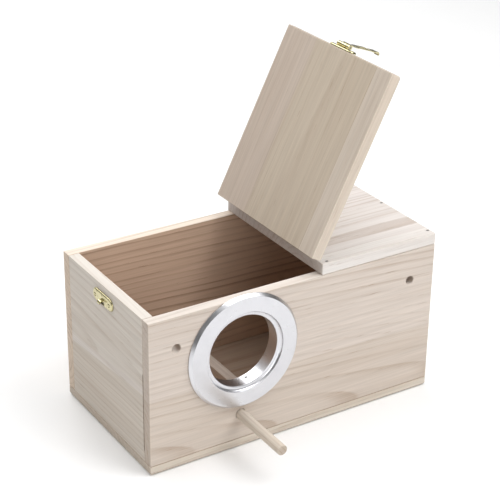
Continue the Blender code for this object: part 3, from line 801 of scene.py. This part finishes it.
class NESTBOX_OT_ring(bpy.types.Operator):
    """Turn the aluminium ring that lines the entry"""

    bl_idname = "nestbox.ring"
    bl_label = "Entry ring"

    def execute(self, context):
        look = context.scene.nest_box_ring
        low, high = box_of("entry_ring")
        wall = box_of("front_board")[0].y
        middle = (low + high) / 2
        bore = min(math.hypot(vertex.co.x - middle.x, vertex.co.z - middle.z)
                   for vertex in frame["nodes"]["entry_ring"].data.vertices)
        profile = self.profile(look, (high.x - low.x) / 2, bore, wall - low.y, wall - high.y)
        obj = turned("entry_ring_turned", profile, look.steps, closed=True)
        place = Matrix.Translation((middle.x, wall, middle.z)) @ FRONT_FACE
        smooth(cut(obj, [lay(nail_recess(nail), place.inverted()) for nail in NAILS
                         if nail.over == "entry_ring"]), RING_SHARP)
        metal = metal_material("turned_aluminium", look.metal, RING_DULL, look.roughness,
                               size=0.02, amount=0.25, grooves=look.groove)
        finish_piece(obj, place, metal, "entry_ring")
        return {"FINISHED"}

    def profile(self, look, flange, bore, face, back):
        """Section of the ring: chamfered flange, hollow lead-in, small step, sleeve."""
        e = look.edge
        chamfer, rim, ledge, shelf = 0.0024, 0.0012, 0.0012, 0.0016
        lip = bore + look.lead_in
        hollow = look.lead_in - shelf
        hollow_floor = face - hollow
        return [
            (lip + e, face), (flange - chamfer - e / 2, face),
            (flange - chamfer + e / 3, face - e / 2), (flange - e / 2, rim + e / 2),
            (flange, rim - e / 2), (flange, CLEARANCE + e), (flange - e, CLEARANCE),
            (SLEEVE_RADIUS, CLEARANCE), (SLEEVE_RADIUS, back + e), (SLEEVE_RADIUS - e, back),
            (bore + e, back), (bore, back + e), (bore, hollow_floor - e * 2),
            (bore + e, hollow_floor - e), (bore + ledge, hollow_floor),
            *arc((lip - hollow, face), hollow, 275, 352, 10),
            (lip - e / 4, face - e / 2), (lip, face - e / 8),
        ]


class NESTBOX_OT_perch(bpy.types.Operator):
    """Turn the dowel perch"""

    bl_idname = "nestbox.perch"
    bl_label = "Perch"

    def execute(self, context):
        low, high = box_of("perch_dowel")
        radius, total = perch_radius(), high.y - low.y
        chamfer, waver = 0.0009, 0.00004
        profile = [(0.0, total / 2)]
        profile += arc((radius - chamfer, total / 2 - chamfer), chamfer, 90, 0, 4)
        for step in range(1, DOWEL_ROWS):
            share = step / DOWEL_ROWS
            ripple = waver * math.sin(11 * share) - waver
            profile.append((radius + ripple, (total / 2 - chamfer) * (1 - 2 * share)))
        profile += [(radius, -total / 2), (0.0, -total / 2)]
        obj = turned("perch_dowel_wood", profile, DOWEL_STEPS)
        place = Matrix.Translation((low + high) / 2) @ FRONT_FACE
        wood = Wood(21.3, ((0.0, 0.55),), 0.0, 0.7, 0.1)
        half = Vector((total / 2, radius, radius))
        material = wood_material("perch_dowel", half, wood, along_z=True)
        finish_piece(obj, place, material, "perch_dowel")
        return {"FINISHED"}


# --- Nails -----------------------------------------------------------------------------

Nail = namedtuple("Nail", "node into over head")
NAILS = tuple(Nail(node, *WIRE_NAILS.get(node.split("_")[0], TACK))
              for node in sorted(frame["nodes"]) if "_nail_" in node)


def nail_place(nail):
    """Where a nail stands at rest, Z out of its head, and how deep it goes."""
    points = [vertex.co for vertex in frame["nodes"][nail.node].data.vertices]
    centre = sum(points, Vector()) / len(points)
    tip = max(points, key=lambda point: (point - centre).length)
    far = max((point - tip).length for point in points)
    rim = [point for point in points if (point - tip).length > far - PIN_EDGE]
    top = sum(rim, Vector()) / len(rim)
    into = tip - top
    return facing(top, -into.normalized()), into.length


def nail_recess(nail):
    """The dimple that a nail's head is driven into, and the start of its hole."""
    place, depth = nail_place(nail)
    head, shank = nail.head + CLEARANCE, SHANK_RADIUS + CLEARANCE
    profile = [(0.0, head), (head * 1.25, head), (head, -0.0001), (head, -0.0009),
               (shank, -0.0011), (shank, -depth), (0.0, -depth)]
    return lay(turned(nail.node + "_recess", profile, NAIL_STEPS), place)


def sinks(prefix, place, profile):
    """Countersinks for the nails of a fitting, in the fitting's own axes."""
    return [lay(turned("sink", profile, NAIL_STEPS), place.inverted() @ nail_place(nail)[0])
            for nail in NAILS if nail.node.startswith(prefix)]


class NESTBOX_OT_nails(bpy.types.Operator):
    """Drive the brads and the brass tacks"""

    bl_idname = "nestbox.nails"
    bl_label = "Nails"

    def execute(self, context):
        # The tacks take the tarnish at full strength, which also paints in the shade that darkens their heads in
        # the sinks
        steel, brass = steel_material("nail_steel"), brass_material("tack_brass", 1.0)
        for nail in NAILS:
            place, depth = nail_place(nail)
            head = nail.head
            if nail.into:
                finish = steel
                crown = [(0.0, -0.00012), (head * 0.55, -0.0001), (head * 0.62, 0.0),
                         (head * 0.92, 0.0), (head, -0.0001), (head, -0.0005)]
            else:
                finish = brass
                crown = [(0.0, 0.0002), (head * 0.5, 0.0001), (head * 0.85, -0.0001),
                         (head, -0.00035), (head, -0.0005)]
            body = [(SHANK_RADIUS, -0.0006), (SHANK_RADIUS, -depth + 0.0014), (0.0, -depth)]
            obj = turned(nail.node + "_wire", crown + body, NAIL_STEPS)
            finish_piece(obj, place, finish, nail.node)
        return {"FINISHED"}


# --- Brass fittings --------------------------------------------------------------------

def wire_pin(node, at, steel):
    """A pin of bright wire along Y through a joint's centre."""
    low, high = box_of(node)
    pin = rod(node + "_wire", (at.x, low.y, at.z), (at.x, high.y, at.z), (high.z - low.z) / 2)
    finish_piece(soften(pin, PIN_EDGE), LAYOUTS[BODIES[node]], steel, node)


class NESTBOX_OT_hinges(bpy.types.Operator):
    """Roll the leaves of the two lid hinges and fit their pins"""

    bl_idname = "nestbox.hinges"
    bl_label = "Hinges"

    def execute(self, context):
        look = context.scene.nest_box_brass
        brass, steel = brass_material("hinge_brass"), steel_material("pin_steel")
        for hinge in ("front_hinge", "back_hinge"):
            self.leaf(hinge, "_top_leaf", 1, look, brass)
            self.leaf(hinge, "_lid_leaf", -1, look, brass)
            wire_pin(hinge + "_pin", LID_PIN, steel)
        return {"FINISHED"}

    def leaf(self, hinge, name, side, look, brass):
        """A leaf drawn about the pin; the lid leaf's knuckle fits in the top leaf's notch."""
        node = hinge + name
        low, high = box_of(node)
        pin_low, pin_high = box_of(hinge + "_pin")
        reach = max(abs(low.x - LID_PIN.x), abs(high.x - LID_PIN.x))
        knuckle, foot = high.z - LID_PIN.z, low.z - LID_PIN.z
        outline = [(reach, foot)] + arc((0.0, 0.0), knuckle, -62, -338, 26)
        outline += arc((0.0, 0.0), PIN_HOLE, -338, -50, 22)
        outline += [(knuckle * 0.62, foot + look.sheet), (reach, foot + look.sheet)]
        length = pin_high.y - pin_low.y
        obj = extruded(node + "_sheet", [(side * a, b) for a, b in outline], -length / 2,
                       length / 2)
        lay(obj, FRONT_FACE)
        half = self.knuckle_half(hinge + "_lid_leaf")
        past, wide = knuckle * 1.4, reach * 2
        if side > 0:
            across, along = (-past, knuckle + CLEARANCE), [(-half - CLEARANCE, half + CLEARANCE)]
        else:
            across, along = (-knuckle - CLEARANCE, past), [(-wide * 2, -half), (half, wide * 2)]
        tools = [block("notch", (across[0], start, -wide), (across[1], end, wide))
                 for start, end in along]
        middle = Vector((LID_PIN.x, (pin_low.y + pin_high.y) / 2, LID_PIN.z))
        place = LAYOUTS[BODIES[node]] @ Matrix.Translation(middle)
        cut(obj, tools + sinks(node.replace("leaf", "nail"), place, HINGE_SINK))
        soften(obj, look.edge, 2, 50)
        finish_piece(obj, place, brass, node)

    def knuckle_half(self, lid_leaf):
        """Half the length of the lid leaf's knuckle, read past the top leaf's edge."""
        points = [LID.inverted() @ v.co for v in frame["nodes"][lid_leaf].data.vertices]
        middle = middle_of(lid_leaf).y
        return max(abs(point.y - middle) for point in points if point.x > LID_PIN.x + 0.0005)


class NESTBOX_OT_catch(bpy.types.Operator):
    """Press the catch plate with its hook"""

    bl_idname = "nestbox.catch"
    bl_label = "Catch plate"

    def execute(self, context):
        look = context.scene.nest_box_brass
        low, high = box_of("catch_plate")
        wall = box_of("left_end_board")[0].x
        middle = (low + high) / 2
        corner, shoulder = 0.0055, 0.0024
        obj = pressed_plate("catch_plate_sheet", (high.y - low.y) / 2, (high.z - low.z) / 2,
                            corner, look.plate_rise, shoulder)
        place = Matrix.Translation((wall, middle.y, middle.z)) @ LEFT_FACE
        hook_root, window_half, window_drop, gap = -0.0008, 0.0040, 0.0040, 0.0002
        window = block("window", (-window_half, hook_root - window_drop, -0.001),
                       (window_half, hook_root - gap, 0.01))
        cut(obj, [soften(window, 0.0008, 3), *sinks("catch_nail", place, PLATE_SINK)])
        join(obj, [self.hook(hook_root, wall - low.x)])
        soften(obj, look.edge, 2, 40)
        finish_piece(obj, place, brass_material("catch_brass"), "catch_plate")
        return {"FINISHED"}

    def hook(self, root, reach):
        """A lanced tongue that stands out of the plate and turns down, drawn out and up."""
        sheet, foot, fall, bend, half = 0.0009, 0.0006, 0.0029, 0.0024, 0.0024
        top = root + sheet
        bend_at = (reach - bend, top - bend)
        outline = [(foot, top), *arc(bend_at, bend, 90, 0, 8), (reach - 0.0001, top - fall),
                   (reach - sheet, top - fall), *arc(bend_at, bend - sheet, 0, 90, 8),
                   (foot, root)]
        across = Matrix(((0, 0, -1, 0), (0, 1, 0, 0), (1, 0, 0, 0), (0, 0, 0, 1)))
        return lay(extruded("hook", outline, -half, half), across)


class NESTBOX_OT_latch(bpy.types.Operator):
    """Press the latch plate, fit its pin and bend the hasp"""

    bl_idname = "nestbox.latch"
    bl_label = "Latch and hasp"

    def execute(self, context):
        look = context.scene.nest_box_brass
        brass = brass_material("latch_brass")
        low, high = box_of("latch_plate")
        end = box_of("lid_board")[0].x
        self.plate((high.y - low.y) / 2, end, look, brass)
        wire_pin("latch_pin", HASP_PIN, steel_material("latch_steel"))
        self.hasp(end, look, brass)
        return {"FINISHED"}

    def plate(self, half_width, end, look, brass):
        """The plate on the lid's end, with a knuckle on a web at each side of the hasp."""
        place = LID @ Matrix.Translation((end, 0.0, HASP_PIN.z)) @ LEFT_FACE
        out = end - HASP_PIN.x
        half_height, corner, rise, shoulder = 0.0047, 0.0044, 0.0019, 0.0022
        obj = pressed_plate("latch_plate_sheet", half_width, half_height, corner, rise, shoulder)
        inner, outer, web, root, inset = 0.0044, 0.0090, 0.0012, 0.0008, 0.0002
        tools = []
        for side in (-1, 1):
            near, far = sorted((side * inner, side * outer))
            tools.append(block("web", (near + inset, -web, root), (far - inset, web, out)))
            tools.append(rod("knuckle", (near, 0.0, out), (far, 0.0, out), BARREL_RADIUS))
        join(obj, tools)
        cut(obj, [self.pin_hole(out), *sinks("latch_nail", place, PLATE_SINK)])
        soften(obj, look.edge, 2, 45)
        finish_piece(obj, place, brass, "latch_plate")

    def pin_hole(self, out):
        past = 0.02
        return rod("pin_hole", (-past, 0.0, out), (past, 0.0, out), PIN_HOLE)

    def hasp(self, end, look, brass):
        """The strap in its own axes: X across, Y up from the pin, Z out from the end."""
        out = end - HASP_PIN.x
        lift, most_rail, slot_low, slot_high = 0.0017, 0.0035, 0.0153, 0.0273
        reach = HASP_PIN.z - box_of("latch_hasp")[0].z
        rows = hasp_rows(reach, out - lift + look.sheet / 2)
        bm = bmesh.new()
        grid = []
        for down, off, half in rows:
            rail = min(half * 0.62, most_rail)
            grid.append([bm.verts.new((a, -down, off)) for a in (-half, -rail, rail, half)])
        for first, second, row, below in zip(rows, rows[1:], grid, grid[1:]):
            in_slot = slot_low < (first[0] + second[0]) / 2 < slot_high
            for column in (0, 2) if in_slot else (0, 1, 2):
                bm.faces.new((row[column], row[column + 1], below[column + 1], below[column]))
        obj = from_bmesh("latch_hasp_strap", bm)
        freeze(modify(obj, "SOLIDIFY", thickness=look.sheet, offset=0.0, use_even_offset=True))
        soften(obj, look.edge, 2, 40)
        neck, inset, heel_low, heel_high, heel_depth = 0.0041, 0.0002, 0.0018, 0.0006, 0.0026
        heel = block("heel", (-neck + inset, -heel_low, out - heel_depth),
                     (neck - inset, -heel_high, out))
        join(obj, [rod("barrel", (-neck, 0.0, out), (neck, 0.0, out), BARREL_RADIUS), heel])
        smooth(cut(obj, [self.pin_hole(out)]))
        place = HASP @ Matrix.Translation((end, 0.0, HASP_PIN.z)) @ LEFT_FACE
        finish_piece(obj, place, brass, "latch_hasp")


# The hasp's outline, as (distance below the pin, half the width)
HASP_OUTLINE = ((0.0, 0.0040), (0.0024, 0.0040), (0.0034, 0.0046), (0.0052, 0.0063),
                (0.0075, 0.0065), (0.0110, 0.0062), (0.0145, 0.0061), (0.0153, 0.0061),
                (0.0185, 0.0062), (0.0213, 0.0064), (0.0243, 0.0065), (0.0273, 0.0065),
                (0.0282, 0.0064), (0.0305, 0.0058), (0.0330, 0.0048), (0.0352, 0.0043))


def hasp_rows(reach, off):
    """Rows of the hasp's strap: distance down, distance out, half the width."""
    curl, lip, steps, turn, half_end, taper = 0.0025, 0.0009, 8, 100, 0.0042, 0.0010
    bead_height, bead_width, beads = 0.0005, 0.0022, (0.0098, 0.0305)
    bend = reach - curl - lip
    made = []
    for down, half in HASP_OUTLINE:
        if down < bend:
            swell = sum(bead_height * math.exp(-((down - bead) / bead_width) ** 2)
                        for bead in beads)
            made.append((down, off + swell, half))
    for step in range(steps + 1):
        angle = math.radians(turn * step / steps)
        made.append((bend + curl * math.sin(angle), off + curl * (1 - math.cos(angle)),
                     half_end - taper * step / steps))
    return made


# --- Stage -----------------------------------------------------------------------------

CAMERA_AT = Vector((-0.6563, -1.0326, 0.7481))
CAMERA_LOOK = Vector((0.4812, 0.7579, -0.4405))
CAMERA_ROLL = math.radians(0.845)
FLOOR_SIZE, FLOOR_GAP = 4.0, 0.0002
LIGHTS_AIM = Vector((0, 0, 0.12))
# Direction from the box, distance and width of each light
LIGHTS = {"key": ((0.37, -0.48, 0.79), 1.45, 0.95), "fill": ((-0.30, -0.93, 0.22), 1.9, 1.1),
          "side": ((-0.80, 0.30, 0.52), 1.9, 1.3), "overhead": ((-0.10, 0.10, 1.0), 1.9, 1.8),
          "back": ((0.0, 0.85, 0.55), 2.2, 1.5)}
# Directions of the dark parts of the room
DARK = ((-0.60, -0.65, 0.47), (0.98, 0.0, 0.18))


class NESTBOX_OT_stage(bpy.types.Operator):
    """Lay the floor and set the lights, the room and the camera"""

    bl_idname = "nestbox.stage"
    bl_label = "Stage"

    def execute(self, context):
        look = context.scene.nest_box_stage
        context.scene.view_settings.view_transform = "Standard"
        self.floor(look)
        self.room(context, look)
        for name, (towards, distance, size) in LIGHTS.items():
            self.light(name, Vector(towards).normalized(), distance, size, getattr(look, name))
        self.camera(context, look)
        return {"FINISHED"}

    def floor(self, look):
        bm = bmesh.new()
        bmesh.ops.create_grid(bm, x_segments=1, y_segments=1, size=FLOOR_SIZE)
        floor = from_bmesh("floor", bm)
        floor.location.z = -FLOOR_GAP
        material, s, principled, place = new_material("floor")
        speck = s.noise(place["Object"], 40.0, 3.0)
        tone = s.mix(s.remap(speck, 0.3, 0.7, 0.0, 0.03, "LINEAR"), rgba(look.floor),
                     rgba([0.9 * channel for channel in look.floor]))
        s.fill(principled, {"Base Color": tone, "Roughness": 0.9, "Specular IOR Level": 0.1})
        floor.data.materials.append(material)

    def room(self, context, look):
        """Bright overhead and dim at eye level, with a plain backdrop for the camera."""
        world = bpy.data.worlds.new("room")
        world.use_nodes = True
        s = Shader(world.node_tree)
        world.node_tree.nodes.clear()
        towards = s.node("ShaderNodeTexCoord").outputs["Generated"]
        strength = s.remap(s.split(towards)[2], 0.30, 0.85, look.room, look.sky)
        for dark in DARK:
            near = s.vector("DOT_PRODUCT", towards, dark)
            strength = s.times(strength, s.remap(near, 0.78, 0.93, 1.0, look.shade))
        light, backdrop = (s.node("ShaderNodeBackground") for _ in range(2))
        s.fill(light, {"Strength": strength})
        s.fill(backdrop, {"Color": rgba(look.backdrop)})
        seen = s.node("ShaderNodeLightPath").outputs["Is Camera Ray"]
        chosen = s.node("ShaderNodeMixShader", seen, light.outputs[0], backdrop.outputs[0])
        s.node("ShaderNodeOutputWorld", chosen.outputs[0])
        context.scene.world = world

    def light(self, name, towards, distance, size, power):
        data = bpy.data.lights.new(name, "AREA")
        data.size = size
        data.energy = power
        new_object(name, data).matrix_world = facing(LIGHTS_AIM + towards * distance, towards)

    def camera(self, context, look):
        data = bpy.data.cameras.new("camera")
        data.lens = look.lens
        data.clip_start, data.clip_end = 0.05, 50.0
        camera = new_object("camera", data)
        right = CAMERA_LOOK.cross(UPWARD).normalized()
        up = right.cross(CAMERA_LOOK).normalized()
        c, n = math.cos(CAMERA_ROLL), math.sin(CAMERA_ROLL)
        turned_right, turned_up = c * right + n * up, c * up - n * right
        axes = Matrix((turned_right, turned_up, -CAMERA_LOOK.normalized())).transposed()
        camera.matrix_world = Matrix.Translation(CAMERA_AT) @ axes.to_4x4()
        context.scene.camera = camera


# --- Add-on ----------------------------------------------------------------------------

MAKERS = (NESTBOX_OT_boards, NESTBOX_OT_ring, NESTBOX_OT_perch, NESTBOX_OT_hinges,
          NESTBOX_OT_catch, NESTBOX_OT_latch, NESTBOX_OT_nails, NESTBOX_OT_stage)
SETTINGS = {"nest_box_wood": NestBoxWood, "nest_box_ring": NestBoxRing,
            "nest_box_brass": NestBoxBrass, "nest_box_steel": NestBoxSteel,
            "nest_box_stage": NestBoxStage}


class NESTBOX_PT_panel(bpy.types.Panel):
    """Lists what can be made and the sizes and colours it is made to"""

    bl_label = "Nest Box"
    bl_idname = "NESTBOX_PT_panel"
    bl_space_type = "VIEW_3D"
    bl_region_type = "UI"
    bl_category = "Nest Box"

    def draw(self, context):
        for maker in MAKERS:
            self.layout.operator(maker.bl_idname)
        for name, kind in SETTINGS.items():
            section = self.layout.box()
            section.label(text=name.replace("nest_box_", "").capitalize())
            for setting in kind.__annotations__:
                section.prop(getattr(context.scene, name), setting)


def register():
    for kind in (*SETTINGS.values(), *MAKERS, NESTBOX_PT_panel):
        bpy.utils.register_class(kind)
    for name, kind in SETTINGS.items():
        setattr(bpy.types.Scene, name, PointerProperty(type=kind))


def unregister():
    for name in SETTINGS:
        delattr(bpy.types.Scene, name)
    for kind in reversed((*SETTINGS.values(), *MAKERS, NESTBOX_PT_panel)):
        bpy.utils.unregister_class(kind)


def main():
    register()
    for maker in MAKERS:
        family, name = maker.bl_idname.split(".")
        getattr(getattr(bpy.ops, family), name)()


if __name__ == "__main__":
    main()
